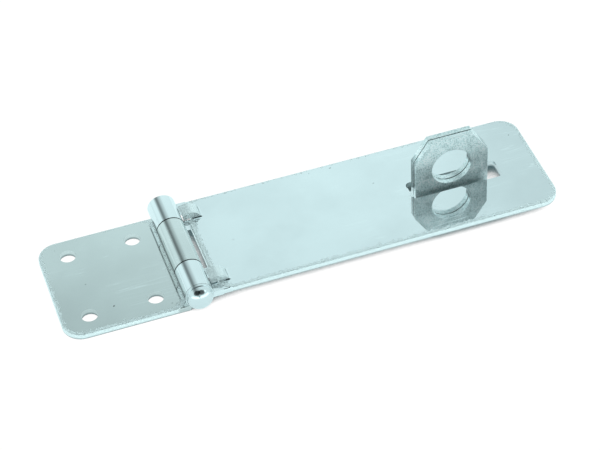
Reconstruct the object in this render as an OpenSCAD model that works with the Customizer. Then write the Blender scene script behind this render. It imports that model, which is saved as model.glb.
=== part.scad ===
// Hasp and staple: a fixed hinge leaf, a long slotted arm and a staple with a round padlock eye.
// Millimetres, +Z out of the mounting plane, +X along the arm. The origin is the centre of the
// fixed leaf's four screw holes, on the mounting plane.

/* [Sheet] */
// Width of the fixed leaf and of the arm
plate_w = 40; // [36:1:60]
// Thickness of the leaf and arm sheet
sheet_t = 2; // [1.5:0.1:2.5]
// Radius of the outer corners of the leaf and the arm
corner_r = 6; // [2:0.5:9]
// Radius of the edge that tumbling and plating leave on the sheet
edge_r = 0.45; // [0.2:0.05:0.7]

/* [Hinge] */
// Radius of the hinge pin's shank
pin_r = 2.25; // [2:0.05:3]
// Radial clearance between the pin and the arm's knuckles
pin_play = 0.05; // [0.02:0.01:0.09]
// Height of the pin's axis above the mounting plane
axis_z = 5.7; // [5.2:0.1:7]
// Length of the middle knuckle, which belongs to the fixed leaf
knuckle_w = 18.5; // [14:0.5:24]
// Gap between neighbouring knuckles
knuckle_gap = 0.4; // [0.1:0.05:0.6]
// Height of the pin's domed head
head_h = 3.1; // [2:0.1:4]
// End play that the pin's head and tail leave the arm's knuckles
end_play = 0.1; // [0.05:0.05:0.3]

/* [Fixed leaf] */
// Distance from the pin's axis to the leaf's end
leaf_reach = 40; // [36:1:60]
// Distance from the pin's axis to the centre of the screw holes
screws_to_axis = 21.4; // [19:0.2:24]
// Spacing of the leaf's screw holes along the hasp
screw_dx = 20; // [14:1:24]
// Spacing of the leaf's screw holes across the hasp
screw_dy = 26; // [16:1:28]
// Radius of the screw holes
screw_r = 2.5; // [1.5:0.1:2.8]

/* [Arm] */
// Distance from the pin's axis to the arm's free end (4 1/2 inch)
arm_reach = 114.3; // [110:0.1:160]
// Height of the arm's underside above the mounting plane
arm_z = 3; // [2.6:0.1:3.4]
// Distance from the pin's axis to the near end of the staple slot
slot_near = 72.3; // [68:0.1:72.5]
// Length of the staple slot
slot_len = 29.2; // [28.5:0.1:32]
// Width of the staple slot
slot_w = 7.4; // [7.2:0.1:9]
// Radius of the slot's corners
slot_r = 1.4; // [1:0.1:1.5]
// Distance from the arm's middle to the middle of the slot and the staple, towards -Y
slot_y = 0.6; // [0:0.1:1]

/* [Staple] */
// Distance from the pin's axis to the middle of the staple
eye_reach = 85.5; // [85.3:0.1:86]
// Width of the staple's eye plates
eye_w = 23.5; // [20:0.5:24]
// Height of the eye plates above the mounting plane
eye_h = 23.6; // [22:0.1:28]
// Thickness of each of the two staple plates
eye_t = 1.7; // [1.2:0.1:2]
// Gap that the weld projections keep between the two plates
eye_gap = 0.25; // [0.1:0.05:0.5]
// Radius of the padlock hole
eye_r = 6.3; // [4:0.1:6.6]
// Height of the padlock hole's centre above the mounting plane
eye_z = 12.4; // [12.4:0.1:14]
// Width that each cut corner takes from the top edge
cut_x = 4.9; // [3:0.1:7]
// Height that each cut corner takes from the sides
cut_z = 7.7; // [4:0.1:8]
// Distance from the staple's middle plane to the end of each foot
foot_reach = 15.8; // [15:0.1:16]
// Spacing of the staple's screw holes along the hasp
foot_dx = 12; // [10:0.5:14]
// Spacing of the staple's screw holes across the hasp
foot_dy = 22; // [20:0.5:24]

/* [Hidden] */
$fn = 96;
// How far pieces of one sub-part run into each other: a hair, well in, and a tongue's length.
fine = 0.01;
overlap = 1;
tongue = 0.2;
// How far a cutter runs past the sheet that it cuts.
margin = 1;
half_w = plate_w / 2;
axis_x = screws_to_axis;
ring_in = pin_r + pin_play;
ring_out = ring_in + sheet_t;
ring_mid = ring_in + sheet_t / 2;
// The leaf's sheet runs in under the arm's knuckles, up to this far from the axis.
leaf_gap = 2.85;
// The joggles between the flats and the knuckles: bend angle and radius to the middle of the sheet.
leaf_bend = 30;
leaf_bend_r = 2.5;
arm_bend = 25;
arm_bend_r = 3;
// Where the curls end, as angles about the pin from +X towards +Z.
leaf_curl_end = 228;
arm_curl_end = -8;
// The window in the arm that clears the leaf's knuckle, and its reach past the knuckle.
window_gap = 2.2;
window_x = ring_out + window_gap;
outer_y = knuckle_w / 2 + knuckle_gap;
// The two lanced nibs that stop the arm's curls from opening, as distances from the axis.
nib_w = 4.6;
nib_y = 14.3;
nib_root_x = 11;
nib_drawn_x = 7.3;
nib_tip_x = 4.65;
nib_rise = 2.5;
nib_bend = 50;
nib_bend_r = 1.9;
nib_tilt = 12;
nib_play = 0.15;
nib_steps = 8;
// The pin's head and tail.
flange_t = 0.8;
head_r = 4.05;
tail_r = 3;
tail_h = 0.8;
// The staple's bends and weld projections.
foot_bend_r = 2;
weld_r = 1.6;
weld_x = 9.3;
weld_z = 9;

// A ring sector from angle a to angle b, anticlockwise.
module sector_2d(r_in, r_out, a, b) {
    steps = ceil((b - a) / 30);
    difference() {
        intersection() {
            circle(r = r_out);
            polygon(concat([[0, 0]], [for (i = [0 : steps])
                let (t = a + (b - a) * i / steps) 2 * r_out * [cos(t), sin(t)]]));
        }
        circle(r = r_in);
    }
}

// A strip of sheet that starts at a point, runs at an angle and has the sheet's thickness. A tongue
// in its middle reaches into the bend at each end, so that the faces meet without a sliver.
module strip_2d(from, angle, len) {
    translate(from) rotate(angle) {
        translate([0, -sheet_t / 2]) square([len, sheet_t]);
        translate([-tongue, -sheet_t / 4]) square([len + 2 * tongue, sheet_t / 2]);
    }
}

// A bend in the sheet about a centre, from angle a to angle b, with a radius to its middle.
module bend_2d(centre, r_mid, a, b) {
    translate(centre) sector_2d(r_mid - sheet_t / 2, r_mid + sheet_t / 2, a, b);
}

// Sheet curled under and round the pin, for a flat that rises away from it.
// Drawn about the pin's axis, with the flat towards +X and at the height flat_mid.
module rising_curl_2d(flat_mid, bend, r_mid, curl_end) {
    rise = flat_mid + ring_mid;
    run = (rise - (ring_mid + r_mid) * (1 - cos(bend))) / sin(bend);
    start = ring_mid * [sin(bend), -cos(bend)];
    stop = start + run * [cos(bend), sin(bend)];
    flat_x = stop.x + r_mid * sin(bend);
    sector_2d(ring_in, ring_out, curl_end, 270 + bend);
    strip_2d(start, bend, run);
    bend_2d([flat_x, flat_mid - r_mid], r_mid, 90, 90 + bend);
    strip_2d([flat_x, flat_mid], 0, window_x + overlap - flat_x);
}

// Sheet curled under and round the pin, and tight on it, for a flat that drops away from it.
module falling_curl_2d(flat_mid, bend, r_mid, curl_end) {
    drop = -ring_mid - flat_mid;
    run = (drop - 2 * r_mid * (1 - cos(bend))) / sin(bend);
    start = [r_mid * sin(bend), -ring_mid - r_mid * (1 - cos(bend))];
    stop = start + run * [cos(bend), -sin(bend)];
    flat_x = stop.x + r_mid * sin(bend);
    sector_2d(pin_r, ring_out, curl_end, 270);
    bend_2d([0, -ring_mid - r_mid], r_mid, 90 - bend, 90);
    strip_2d(start, -bend, run);
    bend_2d([flat_x, flat_mid + r_mid], r_mid, 270 - bend, 270);
    strip_2d([flat_x, flat_mid], 0, leaf_gap + overlap - flat_x);
}

// Places a profile drawn about the pin's axis and extrudes it from y0 to y1.
module along_pin(y0, y1) {
    translate([axis_x, y1, axis_z]) rotate([90, 0, 0]) linear_extrude(y1 - y0) children();
}

// A disc whose top and bottom edges are rounded.
module soft_disc(r, h) {
    rotate_extrude($fn = 48) hull() {
        square([r - edge_r, h]);
        for (z = [edge_r, h - edge_r])
            translate([r - edge_r, z]) circle(r = edge_r, $fn = 20);
    }
}

// A flat plate from x0 to x1, rounded at the +X end, and square and rounded-edged at the other.
module soft_plate(x0, x1, z) {
    hull() {
        for (y = [-1, 1]) {
            translate([x1 - corner_r, y * (half_w - corner_r), z]) soft_disc(corner_r, sheet_t);
            translate([x0 + edge_r, y * (half_w - 2 * edge_r), z]) soft_disc(2 * edge_r, sheet_t);
        }
    }
}

// A rounded rectangular prism for cutting slots, from x0 to x1.
module slot_cutter(x0, x1, w, r, z, h) {
    translate([0, 0, z]) linear_extrude(h) union() {
        translate([x0, r - w / 2]) square([x1 - x0, w - 2 * r]);
        translate([x0 + r, -w / 2]) square([x1 - x0 - 2 * r, w]);
        for (x = [x0 + r, x1 - r], y = [r - w / 2, w / 2 - r])
            translate([x, y]) circle(r = r);
    }
}

module hinge_leaf() {
    color("lightsteelblue") difference() {
        union() {
            mirror([1, 0, 0]) soft_plate(leaf_gap - axis_x, leaf_reach - axis_x, 0);
            translate([axis_x, 0, 0]) mirror([1, 0, 0]) translate([-axis_x, 0, 0])
                along_pin(-knuckle_w / 2, knuckle_w / 2)
                falling_curl_2d(sheet_t / 2 - axis_z, leaf_bend, leaf_bend_r, 180 - leaf_curl_end);
        }
        for (x = [-1, 1], y = [-1, 1])
            translate([x * screw_dx / 2, y * screw_dy / 2, -margin])
                cylinder(r = screw_r, h = sheet_t + 2 * margin);
    }
}

// Points of a bend's middle line from angle a to angle b, each with the direction it runs in.
function bend_path(centre, r, a, b) = [for (i = [0 : nib_steps])
    let (t = a + (b - a) * i / nib_steps)
    [centre + r * [cos(t), sin(t)], b > a ? t + 90 : t - 90]];

// A nib: a tongue of the arm's sheet that is lanced free, stepped up and tilted down to its tip.
// Its slope is drawn out of the sheet and stays joined to it down both sides.
module nib_2d(flat_mid) {
    low = [nib_root_x, flat_mid + nib_bend_r];
    foot = low - nib_bend_r * [sin(nib_bend), cos(nib_bend)];
    run = (nib_rise - 2 * nib_bend_r * (1 - cos(nib_bend))) / sin(nib_bend);
    high = foot - run * [cos(nib_bend), -sin(nib_bend)] - nib_bend_r * [sin(nib_bend), cos(nib_bend)];
    top = high + nib_bend_r * [-sin(nib_tilt), cos(nib_tilt)];
    path = concat(
        [[[nib_root_x + overlap, flat_mid], 180]],
        bend_path(low, nib_bend_r, 270, 270 - nib_bend),
        bend_path(high, nib_bend_r, 90 - nib_bend, 90 + nib_tilt),
        [[[nib_tip_x, top.y - (top.x - nib_tip_x) * tan(nib_tilt)], 180 + nib_tilt]]);
    sides = [for (side = [1, -1])
        [for (p = path) p[0] + side * sheet_t / 2 * [sin(p[1]), -cos(p[1])]]];
    under = [for (i = [len(path) - 1 : -1 : 0]) if (sides[1][i].x < nib_drawn_x) sides[1][i]];
    polygon(concat(sides[0], under,
        [[nib_drawn_x, flat_mid], [nib_root_x + overlap, flat_mid]]));
}

module hasp_arm() {
    flat_mid = arm_z + sheet_t / 2 - axis_z;
    color("lightsteelblue") {
        difference() {
            union() {
                soft_plate(axis_x + window_x, axis_x + arm_reach, arm_z);
                for (side = [-1, 1])
                    along_pin(min(side * outer_y, side * half_w), max(side * outer_y, side * half_w))
                    rising_curl_2d(flat_mid, arm_bend, arm_bend_r, arm_curl_end);
            }
            translate([0, -slot_y, 0]) slot_cutter(axis_x + slot_near, axis_x + slot_near + slot_len,
                slot_w, slot_r, arm_z - margin, sheet_t + 2 * margin);
            for (side = [-1, 1])
                translate([axis_x + nib_tip_x - nib_play, side * nib_y - nib_w / 2 - nib_play,
                    arm_z - margin])
                cube([nib_drawn_x - nib_tip_x, nib_w + 2 * nib_play, sheet_t + 2 * margin]);
        }
        for (side = [-1, 1])
            along_pin(side * nib_y - nib_w / 2, side * nib_y + nib_w / 2) nib_2d(flat_mid);
    }
}

module hinge_pin() {
    shoulder = half_w + end_play;
    color("silver") translate([axis_x, 0, axis_z]) rotate([-90, 0, 0]) {
        translate([0, 0, -shoulder - fine]) cylinder(r = pin_r, h = 2 * shoulder + 2 * fine);
        rotate_extrude() translate([0, -shoulder - flange_t - head_h]) intersection() {
            square([ring_out, head_h + flange_t]);
            union() {
                translate([0, head_h]) scale([1, head_h / head_r]) circle(r = head_r);
                translate([0, head_h]) square([ring_out, flange_t]);
            }
        }
        translate([0, 0, shoulder]) cylinder(r1 = tail_r, r2 = tail_r - tail_h, h = tail_h);
    }
}

// One half of the staple: an upright eye plate whose foot turns out towards -Y.
module staple_half() {
    face = eye_gap / 2;
    difference() {
        translate([axis_x + eye_reach - eye_w / 2, 0, 0]) rotate([90, 0, 90]) linear_extrude(eye_w) {
            translate([-face - eye_t, eye_t + foot_bend_r])
                square([eye_t, eye_h - eye_t - foot_bend_r]);
            translate([-face - eye_t - foot_bend_r, eye_t + foot_bend_r])
                sector_2d(foot_bend_r, foot_bend_r + eye_t, 270, 360);
            translate([-foot_reach, 0]) square([foot_reach - face - eye_t - foot_bend_r, eye_t]);
        }
        translate([axis_x + eye_reach, margin, eye_z]) rotate([90, 0, 0])
            cylinder(r = eye_r, h = eye_t + 3 * margin);
        for (x = [-1, 1]) {
            translate([axis_x + eye_reach + x * foot_dx / 2, -foot_dy / 2, -margin])
                cylinder(r = screw_r, h = eye_t + 2 * margin);
            translate([axis_x + eye_reach + x * eye_w / 2, margin, eye_h]) rotate([90, 0, 0])
                linear_extrude(eye_t + 3 * margin)
                polygon([[-x * cut_x, 0], [-x * cut_x, margin], [x * margin, margin],
                    [x * margin, -cut_z], [0, -cut_z]]);
        }
    }
}

module staple_front_plate() {
    color("lightslategray") translate([0, -slot_y, 0]) staple_half();
}

// The rear half also carries the two projections that the halves are welded at.
module staple_rear_plate() {
    color("lightslategray") translate([0, -slot_y, 0]) {
        translate([2 * (axis_x + eye_reach), 0, 0]) rotate(180) staple_half();
        for (x = [-1, 1])
            translate([axis_x + eye_reach + x * weld_x, eye_gap / 2 + fine, weld_z])
            rotate([90, 0, 0]) cylinder(r = weld_r, h = eye_gap + fine);
    }
}

hinge_leaf();
hasp_arm();
hinge_pin();
staple_front_plate();
staple_rear_plate();
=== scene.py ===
"""Looks of the hasp and staple: bright zinc plated steel on a pale floor, in metres."""

import math
from collections import namedtuple
from functools import reduce

import bmesh
import bpy
from mathutils import Matrix, Vector


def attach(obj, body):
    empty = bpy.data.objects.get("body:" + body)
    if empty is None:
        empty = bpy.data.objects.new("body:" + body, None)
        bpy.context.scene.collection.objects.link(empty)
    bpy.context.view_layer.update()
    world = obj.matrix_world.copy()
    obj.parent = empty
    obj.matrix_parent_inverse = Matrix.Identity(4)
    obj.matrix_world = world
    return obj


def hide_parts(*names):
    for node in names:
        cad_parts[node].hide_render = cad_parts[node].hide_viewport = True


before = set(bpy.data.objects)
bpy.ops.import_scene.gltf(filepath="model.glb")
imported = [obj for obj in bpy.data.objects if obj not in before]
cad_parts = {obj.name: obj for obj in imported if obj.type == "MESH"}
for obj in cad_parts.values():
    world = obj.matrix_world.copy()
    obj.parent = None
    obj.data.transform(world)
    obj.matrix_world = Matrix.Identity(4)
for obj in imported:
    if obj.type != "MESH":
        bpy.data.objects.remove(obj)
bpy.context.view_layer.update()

MM = 0.001

# Camera: where it looks, how far away it stands, and its angles in degrees.
LOOK_AT = Vector((0.059684, 0.002544, 0.0))
DISTANCE = 0.632298
AZIMUTH = -16.294
ELEVATION = 43.658
ROLL = -3.527
LENS = 125.434
SENSOR = 36.0


# ---------------------------------------------------------------- nodes


class Graph:
    """Shorthand for adding nodes to a material's or the world's tree."""

    def __init__(self, tree):
        self.tree = tree
        tree.nodes.clear()

    def add(self, kind, inputs=None, **settings):
        node = self.tree.nodes.new(kind)
        for name, value in settings.items():
            setattr(node, name, value)
        for key, value in (inputs or {}).items():
            self.put(node.inputs[key], value)
        return node

    def put(self, socket, value):
        if isinstance(value, bpy.types.NodeSocket):
            self.tree.links.new(value, socket)
        else:
            socket.default_value = value

    def math(self, operation, a, b=0.0):
        return self.add("ShaderNodeMath", {0: a, 1: b}, operation=operation).outputs[0]

    def plus(self, a, b):
        return self.math("ADD", a, b)

    def minus(self, a, b):
        return self.math("SUBTRACT", a, b)

    def times(self, a, b):
        return self.math("MULTIPLY", a, b)

    def most(self, a, b):
        return self.math("MAXIMUM", a, b)

    def size(self, a):
        return self.math("ABSOLUTE", a)

    def product(self, factors):
        return reduce(self.times, factors)

    def xyz(self, vector):
        return self.add("ShaderNodeSeparateXYZ", {0: vector}).outputs

    def ramp(self, fac, stops):
        """A grey ramp: stops are (position, level)."""
        node = self.add("ShaderNodeValToRGB", {"Fac": fac})
        elements = node.color_ramp.elements
        while len(elements) > 1:
            elements.remove(elements[-1])
        for i, (position, level) in enumerate(stops):
            element = elements[0] if i == 0 else elements.new(position)
            element.position = position
            element.color = (level, level, level, 1)
        return node.outputs["Color"]

    def span(self, value, low, high, to_low=0.0, to_high=1.0):
        """value carried from low..high to to_low..to_high, smoothly and clamped."""
        node = self.add("ShaderNodeMapRange", {0: value, 1: low, 2: high, 3: to_low, 4: to_high},
                        interpolation_type="SMOOTHSTEP")
        return node.outputs[0]

    def mix(self, fac, a, b, blend="MIX"):
        """Two colours mixed."""
        node = self.add("ShaderNodeMix", {0: fac, 6: a, 7: b}, data_type="RGBA", blend_type=blend)
        return node.outputs[2]

    def between(self, fac, a, b):
        """Two numbers mixed."""
        return self.add("ShaderNodeMix", {0: fac, 2: a, 3: b}, data_type="FLOAT").outputs[0]

    def noise(self, vector, scale, detail=2.0, roughness=0.5):
        node = self.add("ShaderNodeTexNoise", {"Vector": vector, "Scale": scale, "Detail": detail,
                                               "Roughness": roughness})
        return node.outputs["Fac"]


# ---------------------------------------------------------------- zinc plate


# A sheet's sheared outline: its x range, half width, corner radius and top height.
Outline = namedtuple("Outline", "x_min x_max half_width corner top")
LEAF_OUTLINE = Outline(x_min=-0.0186, x_max=0.01855, half_width=0.020, corner=0.006, top=0.002)
ARM_OUTLINE = Outline(x_min=0.0279, x_max=0.1357, half_width=0.020, corner=0.006, top=0.005)

# Metal past this x and above this z, the tops of the arm's nibs, gets a painted highlight.
HighlightSpot = namedtuple("HighlightSpot", "x z")
ARM_NIBS = HighlightSpot(x=0.0258, z=0.0053)

# The masks and noises that a plate's colour, roughness and relief share. The border mask is worn
# and painted with a highlight, and the low mask is painted shade.
Marks = namedtuple("Marks", "cloud patch speck scratch nick edge low")

# Bright metal for scratches, and the painted highlight on the border and the nib tops.
SCRATCH_AND_HIGHLIGHT_WHITE = (0.96, 1.0, 1.0, 1)
# Painted shade: the dark colour put into hollows, along the low edges and on the underside.
PAINTED_SHADE_COLOUR = (0.05, 0.09, 0.10, 1)
SHEARED_ROUGHNESS = 0.12

# How wide the bright border is, and how wide it is along the +Y side. The border is worn, and its
# brightness is a painted highlight.
BORDER = 1.0 * MM
FAR_BORDER = 0.35 * MM
# How far the border's inner line wanders.
BORDER_WANDER = 6.0 * MM

# How far the metal round a point reaches, for the painted shade in hollows.
CREVICE_SHADE_REACH = 1.4 * MM
BUMP_DEPTH = 0.02 * MM

# Scratches are noise drawn out along X, so they all run that way.
SCRATCH_STRETCH = (14, 420, 420)
# How strongly a scratch shows in the colour, in the roughness and in the relief.
SCRATCH_TONE = 0.30
SCRATCH_ROUGHNESS = 0.09
SCRATCH_DEPTH = 0.24


def scratches(g, place, turn, width):
    """Fine straight scratches along X, as a mask. turn only picks another set of them."""
    drawn_out = g.add("ShaderNodeMapping", {"Vector": place, "Scale": SCRATCH_STRETCH,
                                            "Rotation": (0, 0, math.radians(turn))})
    streaks = g.noise(drawn_out.outputs["Vector"], 1.0, 1.0)
    line = g.span(g.size(g.minus(streaks, 0.5)), width, 0.2 * width)
    gate = g.span(g.noise(place, 90, 1.0), 0.5, 0.62)
    return g.times(line, gate)


def inward_distance(g, x, y, outline):
    """How far inside a rounded rectangle a point is, seen from above."""
    middle = (outline.x_min + outline.x_max) / 2
    half_length = (outline.x_max - outline.x_min) / 2
    past_x = g.minus(g.size(g.minus(x, middle)), half_length - outline.corner)
    past_y = g.minus(g.size(y), outline.half_width - outline.corner)
    outer = g.add("ShaderNodeCombineXYZ", {0: g.most(past_x, 0.0), 1: g.most(past_y, 0.0)})
    length = g.add("ShaderNodeVectorMath", {0: outer.outputs[0]}, operation="LENGTH")
    inner = g.math("MINIMUM", g.most(past_x, past_y), 0.0)
    return g.minus(outline.corner, g.plus(length.outputs["Value"], inner))


def border(g, place, outline):
    """Two masks of a sheet: a ragged border along its outline, worn and painted with a highlight,
    and all of it that lies below the middle of its thickness, which is the lower part of its edges
    and its whole underside, painted with shade."""
    x, y, z = g.xyz(place)
    inward = inward_distance(g, x, y, outline)
    ragged = g.minus(g.noise(place, 900, 4.0, 0.8), 0.5)
    reach = g.span(y, 0.019, 0.016, FAR_BORDER, BORDER)
    limit = g.plus(g.minus(reach, inward), g.times(ragged, BORDER_WANDER))
    on_sheet = g.times(g.span(inward, -0.0006, -0.0003),
                       g.span(z, outline.top + 0.0004, outline.top + 0.0002))
    # Painted shade goes on all that lies below the middle of the thickness.
    low = g.span(z, outline.top - 0.0011, outline.top - 0.0019)
    return g.times(g.span(limit, 0.0, 0.0001), on_sheet), g.times(low, on_sheet)


def highlight_spot_mask(g, place, highlight_spot):
    x, _, z = g.xyz(place)
    return g.times(g.span(x, highlight_spot.x, highlight_spot.x + 0.0001), g.span(z, highlight_spot.z, highlight_spot.z + 0.0003))


def plate_marks(g, place, outline, highlight_spot):
    edge, low = border(g, place, outline) if outline else (0.0, 0.0)
    if highlight_spot:
        # The nib tops get the same painted highlight as the border.
        edge = g.most(edge, g.times(highlight_spot_mask(g, place, highlight_spot), 0.9))
    return Marks(
        cloud=g.noise(place, 45, 3),
        patch=g.noise(place, 330, 4, 0.65),
        speck=g.noise(place, 2600, 2, 0.6),
        scratch=g.most(scratches(g, place, 62, 0.010), scratches(g, place, -18, 0.008)),
        nick=g.span(g.noise(place, 700, 1), 0.80, 0.84),
        edge=edge,
        low=low,
    )


def crevice_shade(g):
    """How far a point is shut in by the metal round it, from 0 in the open to 1. It sets where
    shade is painted into gaps and hollows.
    """
    open_to = g.add("ShaderNodeAmbientOcclusion", {"Distance": CREVICE_SHADE_REACH}, samples=8)
    return g.span(open_to.outputs["AO"], 0.62, 0.25)


def plate_colour(g, place, marks, base, grain, near_side_shade, far_end_shade):
    x, y, _ = g.xyz(place)
    level = g.product([
        g.span(marks.cloud, 0.3, 0.7, 0.95, 1.03),
        # Painted shade, darker towards -Y.
        g.span(y, -0.02, 0.02, 1 - near_side_shade, 1 + near_side_shade),
        g.span(marks.patch, 0.32, 0.68, 1 - 0.2 * grain, 1 + 0.1 * grain),
        g.span(marks.speck, 0.3, 0.7, 1 - 0.4 * grain, 1 + 0.4 * grain),
        g.span(marks.nick, 0.0, 1.0, 1.0, 0.45),
        # Painted shade, darker towards the +X end.
        g.span(x, 0.100, 0.130, 1.0, far_end_shade),
    ])
    grey = g.add("ShaderNodeCombineColor", {0: level, 1: level, 2: level}).outputs[0]
    toned = g.mix(1.0, base + (1,), grey, "MULTIPLY")
    # Painted highlight along the ragged border and on the nib tops.
    colour = g.mix(marks.edge, toned, SCRATCH_AND_HIGHLIGHT_WHITE)
    colour = g.mix(g.times(marks.scratch, SCRATCH_TONE), colour, SCRATCH_AND_HIGHLIGHT_WHITE)
    # Painted shade in hollows and on the low parts of the sheet.
    painted_shade = g.most(g.times(crevice_shade(g), 0.85), g.times(marks.low, 0.6))
    return g.mix(painted_shade, colour, PAINTED_SHADE_COLOUR)


def plate_roughness(g, marks, roughness, grain):
    """Rougher where it is scratched or worn, and smooth where a grained plate was sheared, which
    is taken to be its faces that look along X."""
    rough = g.span(marks.cloud, 0.3, 0.7, roughness * 0.85, roughness * 1.2)
    rough = g.plus(rough, g.times(marks.edge, 0.35))
    rough = g.plus(rough, g.times(marks.scratch, SCRATCH_ROUGHNESS))
    rough = g.plus(rough, g.times(g.minus(marks.patch, 0.5), 0.3 * grain))
    if not grain:
        return rough
    normal = g.add("ShaderNodeNewGeometry").outputs["Normal"]
    sheared = g.span(g.size(g.xyz(normal)[0]), 0.9, 0.97)
    return g.between(sheared, rough, SHEARED_ROUGHNESS)


def plate_relief(g, place, marks, grain):
    """The height of the plate's relief, in units of BUMP_DEPTH."""
    height = g.plus(g.times(marks.speck, 0.05 + 0.9 * grain),
                    g.times(marks.patch, 0.1 + 2.2 * grain))
    height = g.minus(height, g.times(marks.nick, 1.2))
    height = g.minus(height, g.times(marks.scratch, SCRATCH_DEPTH))
    worn = g.times(marks.edge, g.noise(place, 1500, 3, 0.7))
    return g.plus(height, g.times(worn, 14.0))


def zinc(name, base, roughness, grain=0.0, near_side_shade=0.0, outline=None, highlight_spot=None, far_end_shade=1.0):
    """Bright zinc plate: clouded colour, scratches, nicks, specks, a ragged worn border with a
    painted highlight, and painted shade in hollows and on the low parts of the sheet.

    grain is how far tumbling has roughened the face, slope is painted shade that darkens it towards
    -Y, outline is the outline that has the border, rubbed is where else a highlight is painted, and
    fade is the level of the painted shade at the +X end."""
    material = bpy.data.materials.new(name)
    material.use_nodes = True
    g = Graph(material.node_tree)
    place = g.add("ShaderNodeTexCoord").outputs["Object"]
    marks = plate_marks(g, place, outline, highlight_spot)
    bump = g.add("ShaderNodeBump", {"Strength": 1.0, "Distance": BUMP_DEPTH,
                                    "Height": plate_relief(g, place, marks, grain)})
    shader = g.add("ShaderNodeBsdfPrincipled", {
        "Base Color": plate_colour(g, place, marks, base, grain, near_side_shade, far_end_shade),
        "Metallic": g.minus(1.0, g.times(marks.edge, 0.25)) if outline else 1.0,
        "Roughness": plate_roughness(g, marks, roughness, grain),
        "Normal": bump.outputs[0]})
    g.add("ShaderNodeOutputMaterial", {"Surface": shader.outputs[0]})
    return material


LEAF = zinc("leaf_zinc", (0.71, 0.74, 0.73), 0.06, near_side_shade=0.10, outline=LEAF_OUTLINE)
ARM = zinc("arm_zinc", (0.84, 0.88, 0.89), 0.045, near_side_shade=0.03, outline=ARM_OUTLINE,
           highlight_spot=ARM_NIBS, far_end_shade=0.84)
PIN = zinc("pin_zinc", (0.74, 0.78, 0.79), 0.12)
STAPLE = zinc("staple_zinc", (0.90, 1.0, 1.0), 0.52, grain=0.75)


# ---------------------------------------------------------------- pieces


# Vertices closer than this are one, and edges flatter than this are dissolved before rounding.
MERGE_DISTANCE = 0.002 * MM
FLAT_ANGLE = math.radians(0.5)
# Edges sharper than this are rounded.
SHARP_ANGLE = math.radians(35)


def softened(node, width):
    """A copy of a CAD node with its sharp edges rounded."""
    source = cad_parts[node]
    mesh = bpy.data.meshes.new(node + "_plate")
    bm = bmesh.new()
    bm.from_mesh(source.data)
    bmesh.ops.remove_doubles(bm, verts=bm.verts, dist=MERGE_DISTANCE)
    bmesh.ops.dissolve_limit(bm, angle_limit=FLAT_ANGLE, verts=bm.verts, edges=bm.edges)
    for face in bm.faces:
        face.smooth = True
    bm.to_mesh(mesh)
    bm.free()
    piece = bpy.data.objects.new(node + "_plate", mesh)
    bpy.context.collection.objects.link(piece)
    bevel = piece.modifiers.new("edges", "BEVEL")
    bevel.width = width
    bevel.segments = 3
    bevel.limit_method = "ANGLE"
    bevel.angle_limit = SHARP_ANGLE
    weighted = piece.modifiers.new("normals", "WEIGHTED_NORMAL")
    weighted.mode = "FACE_AREA"
    weighted.weight = 100
    weighted.thresh = 0.01
    return piece


# Each CAD node's body, material, material slot, and the width of its rounded edges in mm.
PARTS = {
    "hinge_leaf": ("fixed_leaf", LEAF, "leaf_zinc", 0.25),
    "hinge_pin": ("fixed_leaf", PIN, "pin_zinc", 0.1),
    "hasp_arm": ("arm", ARM, "arm_zinc", 0.2),
    "staple_front_plate": ("staple", STAPLE, "staple_zinc", 0.25),
    "staple_rear_plate": ("staple", STAPLE, "staple_zinc", 0.25),
}
for node, (body, material, slot, width) in PARTS.items():
    piece = softened(node, width * MM)
    piece.data.materials.append(material)
    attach(piece, body)
    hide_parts(node)


# ---------------------------------------------------------------- floor, light, camera


FLOOR_SIZE = 6.0
FLOOR_DROP = 0.1 * MM
CONTACT_REACH = 10 * MM
CONTACT_SHADE = (0.05, 0.11, 0.12, 1)
PAPER = (1.05, 1.05, 1.05, 1)


def studio_floor():
    """White paper to the camera, shaded only where metal is close. Reflections and the light that
    bounces see a softly glowing floor instead."""
    bpy.ops.mesh.primitive_plane_add(size=FLOOR_SIZE, location=(0, 0, -FLOOR_DROP))
    floor = bpy.context.object
    floor.name = "studio_floor"
    material = bpy.data.materials.new("pale_floor")
    material.use_nodes = True
    g = Graph(material.node_tree)
    camera_ray = g.add("ShaderNodeLightPath").outputs["Is Camera Ray"]
    open_to = g.add("ShaderNodeAmbientOcclusion", {"Distance": CONTACT_REACH}, samples=16)
    paper = g.mix(g.span(open_to.outputs["AO"], 0.13, 0.33), CONTACT_SHADE, PAPER)
    white = g.add("ShaderNodeEmission", {"Color": paper})
    lit = g.add("ShaderNodeBsdfDiffuse", {"Color": (0.9, 0.95, 0.95, 1)})
    lamp = g.add("ShaderNodeEmission", {"Color": (0.80, 0.98, 1.0, 1), "Strength": 1.45})
    glow = g.add("ShaderNodeMixShader", {0: 0.5, 1: lit.outputs[0], 2: lamp.outputs[0]})
    show = g.add("ShaderNodeMixShader", {0: camera_ray, 1: glow.outputs[0], 2: white.outputs[0]})
    g.add("ShaderNodeOutputMaterial", {"Surface": show.outputs[0]})
    floor.data.materials.append(material)


# Brightness of the surroundings by the angle about the hinge's axis, in degrees from overhead and
# positive towards +X.
PANELS = [
    (-180, 0.6), (-110, 0.80), (-90, 0.88), (-70, 1.02), (-50, 0.98), (-42, 0.62),
    (-30, 0.24), (-20, 0.28), (-8, 0.56), (6, 0.76), (15, 0.92), (25, 0.95),
    (80, 0.93), (95, 0.86), (108, 0.5), (125, 0.22), (150, 0.4), (180, 0.6),
]

# Round patches of the surroundings, placed so that the metal reflects them where the photo shows
# them: the way to each, the angles it fades between in degrees, and its level.
Patch = namedtuple("Patch", "way inner outer level")
PATCHES = [
    Patch((-0.34, -0.52, 0.78), 24, 28, 0.14),   # dark, in the pin's dome
    Patch((0.25, -0.60, 0.76), 18, 32, 0.12),    # dark, in the staple
    Patch((0.685, -0.385, 0.61), 7, 12, 1.7),    # bright highlight
]
LOW_FRONT_LIFT = 0.9
WORLD_TINT = (0.78, 0.99, 1.01, 1)


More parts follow.
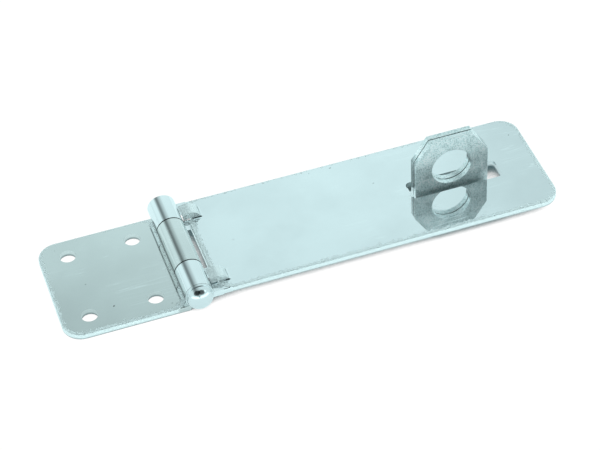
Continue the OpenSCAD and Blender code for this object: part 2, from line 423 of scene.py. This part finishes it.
def patch_level(g, way, patch):
    """The patch's level inside it, fading to 1 outside."""
    toward = g.add("ShaderNodeVectorMath", {0: way, 1: Vector(patch.way).normalized()},
                   operation="DOT_PRODUCT").outputs["Value"]
    outer, inner = (math.cos(math.radians(a)) for a in (patch.outer, patch.inner))
    return g.span(toward, outer, inner, 1.0, patch.level)


def studio_world():
    """Soft panels all round, with the patches on them and the low front made brighter."""
    world = bpy.data.worlds.new("studio")
    bpy.context.scene.world = world
    world.use_nodes = True
    g = Graph(world.node_tree)
    way = g.add("ShaderNodeTexCoord").outputs["Generated"]
    x, y, z = g.xyz(way)
    turn = g.plus(g.math("DIVIDE", g.math("ARCTAN2", x, z), math.tau), 0.5)
    panels = g.ramp(turn, [(angle / 360 + 0.5, level) for angle, level in PANELS])
    low_front = g.times(g.span(y, -0.1, -0.6), g.span(z, 0.4, 0.1))
    level = g.product([patch_level(g, way, patch) for patch in PATCHES]
                      + [g.plus(1.0, g.times(low_front, LOW_FRONT_LIFT))])
    background = g.add("ShaderNodeBackground", {"Color": g.mix(1.0, panels, WORLD_TINT, "MULTIPLY"),
                                                "Strength": level})
    g.add("ShaderNodeOutputWorld", {"Surface": background.outputs[0]})


def studio_camera():
    azimuth, elevation, roll = (math.radians(a) for a in (AZIMUTH, ELEVATION, ROLL))
    back = Vector((math.sin(azimuth) * math.cos(elevation),
                   -math.cos(azimuth) * math.cos(elevation), math.sin(elevation)))
    right = (-back).cross(Vector((0, 0, 1))).normalized()
    up = right.cross(-back)
    across = math.cos(roll) * right + math.sin(roll) * up
    above = -math.sin(roll) * right + math.cos(roll) * up
    data = bpy.data.cameras.new("studio_camera")
    data.lens = LENS
    data.sensor_width = SENSOR
    data.clip_start = 0.01
    camera = bpy.data.objects.new("studio_camera", data)
    camera.matrix_world = Matrix.Translation(LOOK_AT + DISTANCE * back) @ Matrix(
        (across, above, back)).transposed().to_4x4()
    bpy.context.collection.objects.link(camera)
    bpy.context.scene.camera = camera


studio_floor()
studio_world()
studio_camera()
bpy.context.scene.view_settings.view_transform = "Standard"
